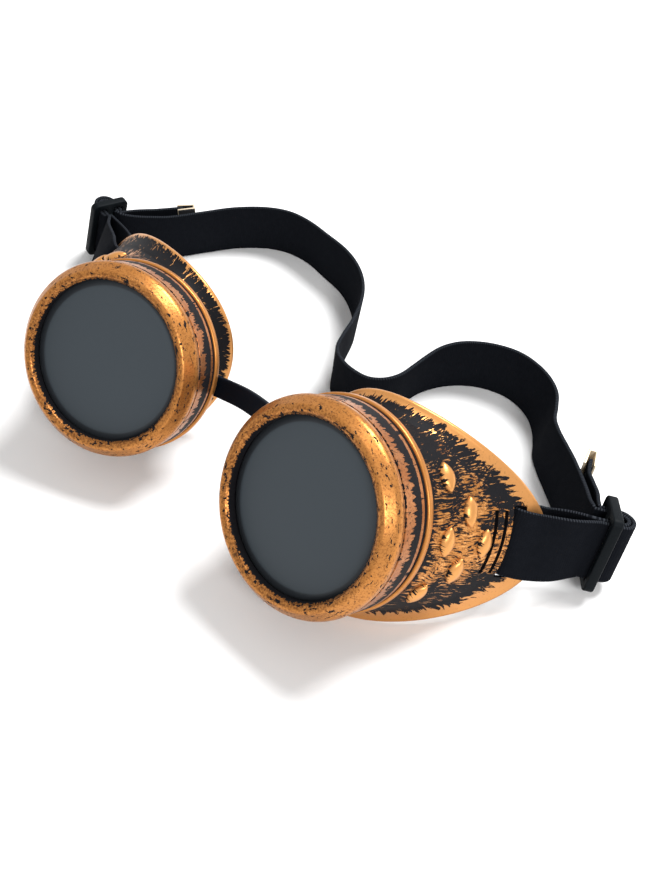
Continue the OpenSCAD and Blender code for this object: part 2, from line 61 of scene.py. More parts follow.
# The lens and its ring. Heights run down the lens axis from the front edge.
LENS_R, LENS_T = 25.0, 2.0
LENS_SINK, LENS_FLAT = 0.3, 21.8
OPENING_R, RING_R, BAND_R = 24.5, 30.0, 29.7
LIP_T = 2.5
RING_END = -14.6
SEAT_R, SEAT_END = 25.3, -6.0
THREAD_R = 27.5
GROOVE_Z, GROOVE_W, GROOVE_DEEP = -5.3, 0.6, 0.5
LINE_Z = GROOVE_Z - GROOVE_W / 2
BEAD_R, BEAD_HALF = 27.3, 2.7
TEETH_Z, LAST_LINE_Z = -9.5, -13.0

# The cup's threaded neck and its collar.
NECK_R, NECK_IN, NECK_TOP = 27.45, 24.45, -6.3
COLLAR_TOP, COLLAR_END = -15.0, -18.0
COLLAR_BEND = 0.6

# The cup's shell, its rim round the face and the lip along the rim.
CUP_WALL = 2.0
SHELL_R, INNER_R, SHELL_IN = 29.4, 24.85, -17.0
RIM_HALF_W, RIM_HALF_H, RIM_SHIFT = 34.7, 33.1, 9.1
RIM_EGG, RIM_FULL = 0.139, 0.026
RIM_DEPTH, RIM_SLOPE, RIM_WRAP, RIM_CHEEK = 24.6, 0.02, 0.0174, 0.0006
LIP_W, LIP_RISE, LIP_MORE = 4.6, 3.4, 0.8
BACK_DROP = 2.3
HOLLOW, HOLLOW_SWING = 0.25, 0.55

# The lip from the body outwards, in shares of its width and rise, its round edge, in
# millimetres in from the rim and down, and the rows under it, in shares of its width.
LIP_CURVE = ((0.93, 0.9), (0.86, 0.8), (0.77, 0.66), (0.68, 0.52), (0.59, 0.4), (0.5, 0.3),
             (0.42, 0.21), (0.34, 0.14), (0.27, 0.08), (0.2, 0.03), (0.12, -0.01))
LIP_EDGE = ((0.25, 0.2), (0.08, 0.5), (0, 0.95), (0.08, 1.4), (0.35, 1.85), (0.7, 2.15),
            (1.1, 2.3))
LIP_INSIDE = (0.5, 0.8)

# Slits and slots in the cup, and the bumps between them and the collar.
SLOT_X, SLOT_MID = 38, 2.0
CUP_SLOT_Z, CUP_SLOT_W, CUP_SLOT_DEEP = -48.2, 4.4, 9
SLOT_ROOM = 1.4
SLIT_LEN, SLIT_W, SLIT_STEP, SLIT_DEEP = 18.4, 1.3, 3.6, 13
SLIT_FIRST = 1.1
BUMP_ROWS, BUMP_ROW, BUMP_TOP = 3, 6.4, -24.0
BUMP_SPREAD, BUMP_CENTRE, BUMP_LEAN = 35.5, 4.5, 68.0
BUMP_LEN, BUMP_W, BUMP_H = 8.4, 4.8, 1.5

# The rubber strip over the nose, its slot in each cup and the head behind the slot.
NOSE_A, NOSE_Z, NOSE_R = 159.0, -20.6, 26.08
NOSE_SINK, NOSE_DEEP, NOSE_RUN = 2.5, 10, 4.5
STRIP_W, STRIP_T, STRIP_GAP = 6.6, 2.0, 0.8
STRIP_HEAD, STRIP_HEAD_T, STRIP_HEAD_H = 12.0, 1.8, 2.8
STRIP_HEAD_IN, STRIP_WALL = 8.2, 3.5

# The webbing and the sliders.
STRAP_W, STRAP_T, PLY_GAP = 20.0, 1.2, 0.3
STRAP_EDGE, STRIP_EDGE, BORDER = 0.4, 0.5, 1.4
RIB, WEAVE = 0.75, 0.5
SLIDER_T, SLIDER_BAR, SLIDER_MID = 3.0, 2.5, 3.0
SLIDER_GAP, SLIDER_SIDE = 0.35, 0.5
SLIDER_CORNER, SLIDER_ROUND = 2.2, 0.45
SLIDER_SLOT = 2 * STRAP_T + PLY_GAP + 2 * SLIDER_GAP
PLY_OFF = (STRAP_T + PLY_GAP) / 2
FRONT_SLOT = (SLIDER_BAR + SLIDER_SLOT) / 2
MID_BAR = SLIDER_BAR / 2 + SLIDER_SLOT + SLIDER_MID / 2
REAR_SLOT = 2 * MID_BAR - FRONT_SLOT
SLIDER_LEN = 2 * MID_BAR + SLIDER_BAR
SLIDER_HIGH = STRAP_W + 2 * SLIDER_SIDE + 2 * SLIDER_BAR
SLIDER_AT = {LEFT: Vector((-138.3, 61.4, 14.9)), RIGHT: Vector((99.7, 62.1, 15.7))}
SLIDER_TURN = {LEFT: (16, 8.5, 82.5), RIGHT: (11, 13.5, 128)}
INNER_BEND = REAR_SLOT - MID_BAR - PLY_OFF
OUTER_BEND = REAR_SLOT - MID_BAR + PLY_OFF
BEND_OUT, TAIL_START, SLOT_IN = 2.5, 2.0, -2.2
LOOP_RUN = {LEFT: 3.8, RIGHT: 1.6}
STRAP_RUN = {LEFT: 2.0, RIGHT: 2.2}
TAIL_RUN = {LEFT: 1.9, RIGHT: 0.8}

# The folded clip on each loose end.
CLIP_LEN, CLIP_T, CLIP_OPEN, CLIP_BITE, CLIP_PLAY = 7.0, 0.7, 3.8, 2.5, 0.2

# The loop's way through the cup: how far out and how far back.
CUP_ROUTE = ((41, -62.5), (37.3, -58.6), (35, -54), (34.6, -50.2), (35.9, -48.2),
             (38.1, -47.9), (40.2, -49.3), (42.8, -52.3))

# The head strap's route on the table, from the left slider to the right one: place,
# height of the lower edge, and how far the webbing leans each way.
HEAD_ROUTE = [
    (-130.5, 69.9, 2.6, 0.25, 0.12), (-126.5, 73.2, 1.6, 0.15, 0.08), (-122, 78, 0.8, 0.05, 0.02),
    (-117.5, 84.5, 0.2, 0, -0.12), (-111, 96, 0, 0, -0.13), (-104.2, 107, 0, 0, -0.1),
    (-95.5, 115.6, 0, 0, -0.05), (-86.5, 120, 0, 0, 0), (-76, 120.7, 0, 0, 0.02),
    (-64, 118.6, 0, 0, 0.06), (-52.5, 116.2, 0, 0.05, 0.08), (-43, 112, 0, 0.12, 0.08),
    (-34.5, 105.8, 0, 0.16, 0.06), (-27.5, 97.5, 0, 0.16, 0.05), (-22, 87, 0, 0.18, 0.02),
    (-18.2, 78, 0, 0.14, 0.06), (-14, 71.8, 0, 0.06, 0.06), (-7.5, 69, 0, 0, 0),
    (-1, 68, 0, 0, 0), (4.2, 69, 0, 0.04, -0.02), (7.6, 72.2, 0, 0.1, 0), (9, 77.5, 0, 0.18, 0),
    (9, 84, 0, 0.2, 0), (9.2, 91, 0, 0.18, 0), (10.8, 97.8, 0, 0.1, 0.02),
    (14, 103.6, 0, 0.06, 0.04), (19.2, 108.4, 0, 0.04, 0.04), (25.5, 111.5, 0, 0.02, 0.06),
    (32, 112.8, 0, 0.04, 0.1), (38.5, 112, 0, 0.08, 0.13), (45, 109.4, 0, 0.15, 0.15),
    (50.4, 105.2, 0, 0.22, 0.14), (54.3, 100, 0, 0.24, 0.06), (57.6, 94.8, 0, 0.2, 0.08),
    (62, 90.8, 0, 0.16, 0.12), (67.3, 87, 0, 0.14, 0.16), (73, 82.6, 0.6, 0.12, 0.2),
    (78.8, 77.4, 1.6, 0.08, 0.25), (83.8, 72.6, 2.8, 0.04, 0.3), (87.6, 68.9, 3.6, 0.02, 0.31),
]
TAIL_ROUTE = {
    LEFT: [(-128.2, 76.8, 2.1, 0.15, 0.06), (-124.4, 81.8, 1.6, 0.08, 0),
           (-120.8, 86.8, 1.3, 0.02, -0.04), (-117.4, 91.6, 1.2, 0, -0.06)],
    RIGHT: [(89, 70.9, 3.3, 0.02, 0.31), (86.7, 73.8, 2.8, 0.04, 0.3),
            (83.2, 77.1, 2.2, 0.06, 0.26), (80.1, 80.4, 1.6, 0.06, 0.22),
            (77.4, 86.4, 1.2, 0.04, 0.16)],
}

# Points of the head strap's route where it is cut into lengths, and a point past each bend towards
# the middle.
HEAD_LEFT_BEND, HEAD_LEFT_REST, HEAD_MIDDLE = 4, 8, 18
HEAD_RIGHT_REST, HEAD_RIGHT_BEND = len(HEAD_ROUTE) - 9, len(HEAD_ROUTE) - 4

# How finely the shapes are divided.
AROUND = 144
LENS_STEPS = 96
BODY_STEPS, HOLLOW_STEPS = 14, 8
BEND_STEPS = 16
LOOP_SMOOTH, HEAD_SMOOTH, TAIL_SMOOTH, NOSE_SMOOTH = 8, 5, 6, 10
SHARP = math.radians(38)
BAR_CORNER = 1.0

# Zones of the cup, which its finish reads. The body runs from 0 to the lip's 1.
INSIDE, BODY, LIP, RIM, BUMP = -1, 0, 1, 2.2, 5
COLLAR_FRONT, COLLAR_ROUND, COLLAR_SIDE, COLLAR_BACK = 6.0, 6.3, 6.7, 6.9

# The finish of each side: where the pattern starts, and where the lip is clean.
SEED = {LEFT: 37, RIGHT: 0}
LIP_CLEAN = {LEFT: 1.75, RIGHT: 1.4}

# Colours.
COPPER_DEEP, COPPER_PINK = (0.33, 0.115, 0.034, 1), (0.40, 0.165, 0.063, 1)
GOLD, COPPER_STAIN = (0.50, 0.21, 0.052, 1), (0.13, 0.045, 0.016, 1)
COPPER_PALE = (0.74, 0.37, 0.135, 1)
SOOT, SOOT_PALE = (0.004, 0.004, 0.005, 1), (0.013, 0.0125, 0.0145, 1)
WEBBING_DARK, WEBBING_PALE = (0.0052, 0.0060, 0.0082, 1), (0.0078, 0.0088, 0.0115, 1)
WEBBING_EDGE = (0.05, 0.056, 0.066, 1)
# The lens's colour at its foot and at its top, paler there as a painted reflection, and its painted
# shade by the ring.
LENS_LOW, LENS_TOP_REFLECTING = (0.037, 0.047, 0.056, 1), (0.052, 0.064, 0.075, 1)
LENS_SHADE = (0.026, 0.030, 0.035, 1)
PAPER, PAPER_PALE = (0.97, 0.97, 0.97, 1), (0.985, 0.985, 0.985, 1)
WHITE = (1, 1, 1, 1)

# The photograph's viewpoint, in millimetres from the home place.
CAMERA_AT = Vector((167.1, -117.4, 236.4))
CAMERA_FORWARD = Vector((-0.4990, 0.5084, -0.7018))
CAMERA_RIGHT = Vector((0.7137, 0.7005, 0))
CAMERA_LENS, CAMERA_SENSOR = 41.38, 36


def turn(angle, axis):
    return Matrix.Rotation(math.radians(angle), 4, axis)


def cup_matrix(s):
    mirror = Matrix.Diagonal((s, 1, 1, 1))
    place = Matrix.Translation(HOME + Vector((s * LENS_SPAN / 2, 0, CUP_HEIGHT[s])))
    return (place @ turn(CUP_YAW[s], "Z") @ turn(90 - CUP_TILT[s], "X")
            @ turn(s * CUP_ROLL[s], "Z") @ mirror)


def slider_matrix(s):
    roll, pitch, yaw = SLIDER_TURN[s]
    return (Matrix.Translation(HOME + SLIDER_AT[s])
            @ turn(yaw, "Z") @ turn(pitch, "Y") @ turn(roll, "X"))


CUP = {s: cup_matrix(s) for s, _ in SIDES}
SLIDER = {s: slider_matrix(s) for s, _ in SIDES}


def mix(a, b, k):
    return a + (b - a) * k


def cos(a):
    return math.cos(math.radians(a))


def sin(a):
    return math.sin(math.radians(a))


def arc(cx, cy, r, a, b, n):
    return [(cx + r * cos(mix(a, b, i / n)), cy + r * sin(mix(a, b, i / n))) for i in range(n + 1)]


# Building pieces.

def layers_of(bm):
    """Two values on each point: its own place, for the pattern, and its zone."""
    layers = bm.verts.layers
    return (layers.float_vector.get("local") or layers.float_vector.new("local"),
            layers.float.get("zone") or layers.float.new("zone"))


def keep_place(bm):
    keep = layers_of(bm)[0]
    for v in bm.verts:
        v[keep] = v.co


def outward(bm):
    bmesh.ops.recalc_face_normals(bm, faces=bm.faces)


def points_of(geometry):
    """The points among what an operator made."""
    return [g for g in geometry if isinstance(g, bmesh.types.BMVert)]


def piece(bm, name, materials, matrix=None):
    """Turns a mesh in millimetres into a finished object in metres. The matrix puts it
    in its place, and a mirroring one has the faces turned back."""
    for v in bm.verts:
        v.co = (matrix @ v.co if matrix is not None else v.co) * MM
    if matrix is not None and matrix.determinant() < 0:
        bmesh.ops.reverse_faces(bm, faces=bm.faces)
    for e in bm.edges:
        e.smooth = e.calc_face_angle(0) < SHARP
    mesh = bpy.data.meshes.new(name)
    bm.to_mesh(mesh)
    bm.free()
    mesh.polygons.foreach_set("use_smooth", [True] * len(mesh.polygons))
    for material in materials:
        mesh.materials.append(material)
    obj = bpy.data.objects.new(name, mesh)
    bpy.context.collection.objects.link(obj)
    return obj


def ring_edges(bm, loop):
    return [bm.edges.get((loop[i - 1], loop[i])) for i in range(len(loop))]


def next_loop(bm, loop):
    """Extrudes a ring of edges and gives its new points in the same order."""
    old = set(loop)
    mates = {}
    for v in points_of(bmesh.ops.extrude_edge_only(bm, edges=ring_edges(bm, loop))["geom"]):
        for e in v.link_edges:
            if e.other_vert(v) in old:
                mates[e.other_vert(v)] = v
    return [mates[v] for v in loop]


def loft(bm, rows, zones, wrap=False):
    """Rings of points: a circle of edges is extruded from row to row."""
    zone = layers_of(bm)[1]
    circle = bmesh.ops.create_circle(bm, cap_ends=False, segments=len(rows[0]), radius=1)
    start = list(circle["verts"])
    loop = start
    for n, (row, row_zone) in enumerate(zip(rows, zones)):
        if n:
            loop = next_loop(bm, loop)
        for v, p in zip(loop, row):
            v.co = p
            v[zone] = row_zone
    if wrap:
        bmesh.ops.bridge_loops(bm, edges=ring_edges(bm, loop) + ring_edges(bm, start))
    else:
        bm.faces.new(loop)
        bm.faces.new(list(reversed(start)))


def spin_profile(bm, points, zones, steps=AROUND):
    """A closed profile of (radius, height) points spun round the z axis."""
    zone = layers_of(bm)[1]
    verts = []
    for (r, z), point_zone in zip(points, zones):
        v = bm.verts.new((r, 0, z))
        v[zone] = point_zone
        verts.append(v)
    edges = [bm.edges.new((verts[i], verts[(i + 1) % len(verts)])) for i in range(len(verts))]
    bmesh.ops.spin(bm, geom=verts + edges, cent=(0, 0, 0), axis=(0, 0, 1), angle=2 * math.pi,
                   steps=steps, use_merge=True)


def box_mesh(bm, centre, size, matrix=None):
    for v in bmesh.ops.create_cube(bm, size=1)["verts"]:
        v.co = Vector((v.co.x * size[0], v.co.y * size[1], v.co.z * size[2])) + Vector(centre)
        if matrix is not None:
            v.co = matrix @ v.co


def cut(obj, tool):
    """Takes the tool away from the object and leaves one plain mesh."""
    mod = obj.modifiers.new("cut", "BOOLEAN")
    mod.operation = "DIFFERENCE"
    mod.solver = "EXACT"
    mod.object = tool
    deps = bpy.context.evaluated_depsgraph_get()
    result = bmesh.new()
    result.from_object(obj, deps)
    for v in result.verts:
        v.co = v.co * METRE
    bpy.data.objects.remove(obj)
    bpy.data.objects.remove(tool)
    return result


def soften(bm, edges, width, segments, material=-1):
    """Rounds the edges with a narrow bevel."""
    bmesh.ops.bevel(bm, geom=edges, offset=width, offset_type="OFFSET", affect="EDGES",
                    segments=segments, profile=0.5, material=material, clamp_overlap=True)


# The cup's shell.

def rim_point(a, inset, rise):
    """A point of the rim at an angle, moved in from the edge and raised."""
    x = RIM_SHIFT + (RIM_HALF_W - inset) * cos(a)
    y = (RIM_HALF_H - inset) * sin(a) * (1 - RIM_EGG * cos(a) + RIM_FULL * cos(2 * a))
    z = RIM_CHEEK * min(y, 0) ** 2 - RIM_DEPTH - RIM_SLOPE * x - RIM_WRAP * x * x
    return Vector((x, y, z + rise))


def edge_rise(a):
    """How high the lip rises: more on the temple's side."""
    return LIP_RISE + LIP_MORE * (1 + cos(a))


def hollow(a):
    """How far the body is drawn in halfway: it swells towards the temple."""
    return HOLLOW - HOLLOW_SWING * cos(a)


def body_point(a, k, r, inset, drop, z):
    """A point of the body, from 0 at the collar to 1 at the lip."""
    p = Vector((r * cos(a), r * sin(a), z)).lerp(rim_point(a, inset, edge_rise(a) - drop), k)
    pull = 1 - hollow(a) * math.sin(math.pi * k) / math.hypot(p.x, p.y)
    return Vector((p.x * pull, p.y * pull, p.z))


def wall_point(a, z):
    """The point of the body's outside at an angle and a height."""
    k = (SHELL_IN - z) / (SHELL_IN - rim_point(a, LIP_W, edge_rise(a)).z)
    p = body_point(a, k, SHELL_R, LIP_W, 0, SHELL_IN)
    return Vector((p.x, p.y, z))


def shell_rows():
    """Rows of points from the collar down the body, round the lip and up the inside,
    with the zone of each row."""
    turns = [360 * i / AROUND for i in range(AROUND)]
    rows, zones = [], []

    def add(points, zone):
        rows.append(points)
        zones.append(zone)

    for i in range(BODY_STEPS + 1):
        k = i / BODY_STEPS
        add([body_point(a, k, SHELL_R, LIP_W, 0, SHELL_IN) for a in turns], k)
    for n, (inset, share) in enumerate(LIP_CURVE):
        add([rim_point(a, inset * LIP_W, share * edge_rise(a)) for a in turns],
            LIP + (n + 1) / (len(LIP_CURVE) + 1))
    for inset, drop in LIP_EDGE:
        add([rim_point(a, inset, -drop) for a in turns], RIM)
    for k in LIP_INSIDE:
        share = 1 - k * k * 0.2 - 0.8 * (1 - k)
        drop = BACK_DROP * (1.4 - 0.4 * k)
        add([rim_point(a, k * LIP_W + CUP_WALL * 0.55, share * edge_rise(a) - drop)
             for a in turns], INSIDE)
    for i in range(HOLLOW_STEPS + 1):
        k = 1 - i / HOLLOW_STEPS
        add([body_point(a, k, INNER_R, LIP_W + CUP_WALL, CUP_WALL * 0.5, SHELL_IN)
             for a in turns], INSIDE)
    return rows, zones


def cup_cutter():
    """The two slits, the strap slot and the nose slot, as boxes."""
    bm = bmesh.new()
    first = CUP_SLOT_Z + SLIT_STEP + SLIT_FIRST
    for z in (first, first + SLIT_STEP):
        box_mesh(bm, (SLOT_X, SLOT_MID, z), (SLIT_DEEP, SLIT_LEN, SLIT_W))
    box_mesh(bm, (SLOT_X, SLOT_MID, CUP_SLOT_Z), (CUP_SLOT_DEEP, STRAP_W + SLOT_ROOM, CUP_SLOT_W))
    box_mesh(bm, (NOSE_R - NOSE_SINK, 0, NOSE_Z),
             (NOSE_DEEP, STRIP_W + 2 * STRIP_GAP, STRIP_T + 2 * STRIP_GAP), turn(NOSE_A, "Z"))
    outward(bm)
    for f in bm.faces:
        f.material_index = 1
    return piece(bm, "cutter", [black, black])


def add_bump(bm, a, z):
    """A raised almond that lies along the cup's wall."""
    zone = layers_of(bm)[1]
    place = Matrix.Translation(wall_point(a, z)) @ turn(a, "Z") @ turn(BUMP_LEAN, "Y")
    for v in bmesh.ops.create_uvsphere(bm, u_segments=28, v_segments=14, radius=1)["verts"]:
        x, y, h = v.co
        v[zone] = BUMP + 0.4 * x
        taper = max(0, 1 - y * y) ** 0.4
        v.co = place @ Vector((x * BUMP_W / 2 * taper, y * BUMP_LEN / 2, h * BUMP_H))


def neck_profile():
    """The threaded neck, and the collar with its two round edges."""
    points, zones = [], []

    def add(pts, zone):
        points.extend(pts)
        zones.extend([zone] * len(pts))

    ease, step_r, step_h = 0.3, RING_R - 0.5, 0.7
    out = RING_R + 0.3 - COLLAR_BEND
    add([(NECK_IN, COLLAR_END), (NECK_IN, NECK_TOP + ease), (NECK_IN + ease, NECK_TOP),
         (NECK_R - ease, NECK_TOP), (NECK_R, NECK_TOP - ease), (NECK_R, COLLAR_TOP)], INSIDE)
    add([(step_r - 0.2, COLLAR_TOP), (step_r, COLLAR_TOP - 0.15), (step_r, COLLAR_TOP - step_h)],
        COLLAR_FRONT)
    add(arc(out, COLLAR_TOP - step_h - COLLAR_BEND, COLLAR_BEND, 90, 0, 5), COLLAR_ROUND)
    add(arc(out, COLLAR_END + COLLAR_BEND, COLLAR_BEND, 0, -90, 5), COLLAR_SIDE)
    add([(SHELL_R - 0.5, COLLAR_END)], COLLAR_BACK)
    return points, zones


def cup_trim():
    """The neck, the collar and the rows of bumps, as a mesh to join to the shell."""
    bm = bmesh.new()
    spin_profile(bm, *neck_profile())
    outward(bm)
    for row in range(BUMP_ROWS):
        count = BUMP_ROWS - row
        for i in range(count):
            a = BUMP_CENTRE + BUMP_SPREAD * (i - (count - 1) / 2)
            add_bump(bm, a, BUMP_TOP - row * BUMP_ROW)
    mesh = bpy.data.meshes.new("trim")
    bm.to_mesh(mesh)
    bm.free()
    return mesh


Curve = namedtuple("Curve", "r z bend")


def ring_profile():
    """From the opening over the rolled front, the groove and the band to the thread."""
    front = Curve(OPENING_R + 1.9, -0.9, 1.7)
    side = Curve(RING_R - 3, -3.6, 3.0)
    across = math.hypot(side.r - front.r, side.z - front.z)
    away = math.degrees(math.atan2(side.z - front.z, side.r - front.r))
    lean = away + math.degrees(math.acos((front.bend - side.bend) / across))
    start = 180 - math.degrees(math.asin(0.75 / front.bend))
    end = -math.degrees(math.acos((BAND_R - side.r) / side.bend))
    floor_r, ease = BAND_R - GROOVE_DEEP, 0.12
    groove_end = GROOVE_Z - GROOVE_W
    pts = [(OPENING_R, -LIP_T), (OPENING_R, -0.6), (OPENING_R + 0.1, -0.35)]
    pts += arc(*front, start, lean, 18)
    pts += arc(*side, lean, end, 14)
    pts += [(BAND_R, GROOVE_Z + ease), (BAND_R - ease, GROOVE_Z),
            (floor_r, GROOVE_Z - 0.05), (floor_r, groove_end + 0.05),
            (BAND_R - ease, groove_end), (BAND_R, groove_end - ease)]
    pts += [(BAND_R, -8.5), (BAND_R, -11.5), (BAND_R, RING_END + 0.3),
            (BAND_R - 0.3, RING_END), (THREAD_R, RING_END), (THREAD_R, SEAT_END),
            (SEAT_R, SEAT_END), (SEAT_R, -LIP_T)]
    zones = [INSIDE if r < OPENING_R + 0.01 or (r < THREAD_R + 0.1 and z < -2.4) else BODY
             for r, z in pts]
    return pts, zones


# The webbing: stations of a point and the direction across its width.

def gap_of(a, b):
    """The distance from station to station."""
    return (a[0] - b[0]).length


def slope_at(p, i):
    """How fast place and direction change at station i."""
    a, b = p[max(i - 1, 0)], p[min(i + 1, len(p) - 1)]
    d = gap_of(a, b)
    return (b[0] - a[0]) / d, (b[1] - a[1]) / d


def smooth(p, n):
    """A curve through the stations, with n steps from each to the next."""
    out = []
    for i in range(len(p) - 1):
        long = gap_of(p[i], p[i + 1])
        ma, mb = slope_at(p, i), slope_at(p, i + 1)
        for k in range(n):
            t = k / n
            w = (1 - t) ** 2 * (1 + 2 * t), (1 - t) ** 2 * t * long
            u = t * t * (3 - 2 * t), -t * t * (1 - t) * long
            out.append(tuple(p[i][j] * w[0] + ma[j] * w[1] + p[i + 1][j] * u[0] + mb[j] * u[1]
                             for j in (0, 1)))
    out.append(p[-1])
    return out


def on_slider(s, x, out):
    m = SLIDER[s]
    return m @ Vector((x, -s * out, 0)), m.to_3x3() @ Vector((0, 0, 1))


def on_cup(s, x, z):
    return CUP[s] @ Vector((x, SLOT_MID, z)), CUP[s].to_3x3() @ Vector((0, 1, 0))


def on_nose(s, r):
    at = CUP[s] @ Vector((r * cos(NOSE_A), r * sin(NOSE_A), NOSE_Z))
    return at, CUP[s].to_3x3() @ Vector((sin(NOSE_A), -cos(NOSE_A), 0))


def on_table(x, y, lift, lean_x, lean_y):
    """Webbing that stands on its lower edge, raised and leaning."""
    up = Vector((lean_x, lean_y, 1)).normalized()
    z = lift + STRAP_W / 2 * up.z + STRAP_T / 2 * math.hypot(up.x, up.y)
    return HOME + Vector((x, y, z)), up


def bend(s, r, way):
    """Half a turn round the slider's middle bar."""
    return [on_slider(s, MID_BAR + way * r * cos(180 * i / BEND_STEPS),
                      BEND_OUT + r * sin(180 * i / BEND_STEPS)) for i in range(BEND_STEPS + 1)]


def between(a, b, k, bow):
    """A station between two others, pushed out by the bow."""
    return a[0].lerp(b[0], k) + bow, a[1].lerp(b[1], k)


def loop_line(s):
    """From the slider's rear slot round its middle bar, to the cup and back."""
    way = [on_cup(s, x, z) for x, z in CUP_ROUTE]
    inner = on_slider(s, MID_BAR - INNER_BEND, SLOT_IN - LOOP_RUN[s])
    outer = on_slider(s, MID_BAR - OUTER_BEND, SLOT_IN - LOOP_RUN[s])
    out = CUP[s].to_3x3() @ Vector((1, 0, 0.6))
    middle = ([inner, between(inner, way[0], 0.5, -0.6 * out)] + way
              + [between(way[-1], outer, 0.5, 1.2 * out), outer])
    return ([on_slider(s, MID_BAR + INNER_BEND, SLOT_IN)] + bend(s, INNER_BEND, 1)
            + [on_slider(s, MID_BAR - INNER_BEND, SLOT_IN)] + smooth(middle, LOOP_SMOOTH)
            + [on_slider(s, MID_BAR - OUTER_BEND, SLOT_IN)] + bend(s, OUTER_BEND, -1)
            + [on_slider(s, MID_BAR + OUTER_BEND, TAIL_START)])


def head_line():
    """From slider to slider round the back of the head."""
    x = MID_BAR + INNER_BEND
    start = on_slider(LEFT, x, SLOT_IN - STRAP_RUN[LEFT])
    end = on_slider(RIGHT, x, SLOT_IN - STRAP_RUN[RIGHT])
    line = smooth([start] + [on_table(*q) for q in HEAD_ROUTE] + [end], HEAD_SMOOTH)
    return [on_slider(LEFT, x, SLOT_IN)] + line + [on_slider(RIGHT, x, SLOT_IN)]


def head_station(k):
    """Where point k of the head strap's route is on the finished line."""
    return 1 + HEAD_SMOOTH * (k + 1)


def tail_line(s):
    """The loose end, from the slider's rear slot along the head strap."""
    x = MID_BAR + OUTER_BEND
    return ([on_slider(s, x, TAIL_START), on_slider(s, x, 0), on_slider(s, x, SLOT_IN)]
            + smooth([on_slider(s, x, SLOT_IN - TAIL_RUN[s])]
                     + [on_table(*q) for q in TAIL_ROUTE[s]], TAIL_SMOOTH))


def nose_line():
    """From the head inside the left cup over the nose to the one in the right cup."""
    head_r, wall_r = NOSE_R - STRIP_HEAD_IN, NOSE_R - STRIP_WALL
    a, b = (on_nose(s, NOSE_R + NOSE_RUN) for s in (LEFT, RIGHT))
    middle = (a[0] + b[0]) / 2 + Vector((0, 0.6, 1.2)), (a[1] + b[1]) / 2
    return smooth([on_nose(LEFT, head_r), on_nose(LEFT, wall_r), a, middle,
                   b, on_nose(RIGHT, wall_r), on_nose(RIGHT, head_r)], NOSE_SMOOTH)


def section(w, t, r):
    """Half-round edges and flat faces: points of (across, through)."""
    pts = []
    for cx, cy, a in ((w / 2 - r, t / 2 - r, 0), (r - w / 2, t / 2 - r, 90),
                      (r - w / 2, r - t / 2, 180), (w / 2 - r, r - t / 2, 270)):
        pts += arc(cx, cy, r, a, a + 90, 3)
        if a in (0, 180):
            side = 1 if a == 0 else -1
            for x in (w / 2 - BORDER, w / 4, 0, -w / 4, BORDER - w / 2):
                pts.append((side * x, side * t / 2))
    return pts


def ribbon(line, w, t, r, name, material):
    """A band swept along its stations. The pattern's place is along, across, through."""
    bm = bmesh.new()
    keep = layers_of(bm)[0]
    rows, place, far = [], [], 0.0
    flat = section(w, t, r)
    for i, (c, across) in enumerate(line):
        a, b = line[max(i - 1, 0)][0], line[min(i + 1, len(line) - 1)][0]
        way = (b - a).normalized()
        side = (across - way * across.dot(way)).normalized()
        up = way.cross(side)
        if i:
            far += (c - line[i - 1][0]).length
        rows.append([c + side * x + up * y for x, y in flat])
        place.append(far)
    loft(bm, rows, [0] * len(rows))
    bm.verts.ensure_lookup_table()
    for i, v in enumerate(bm.verts):
        x, y = flat[i % len(flat)]
        v[keep] = (place[i // len(flat)], x, y)
    outward(bm)
    return piece(bm, name, [material])


def strap(line, name):
    return ribbon(line, STRAP_W, STRAP_T, STRAP_EDGE, name, webbing)


# Materials.

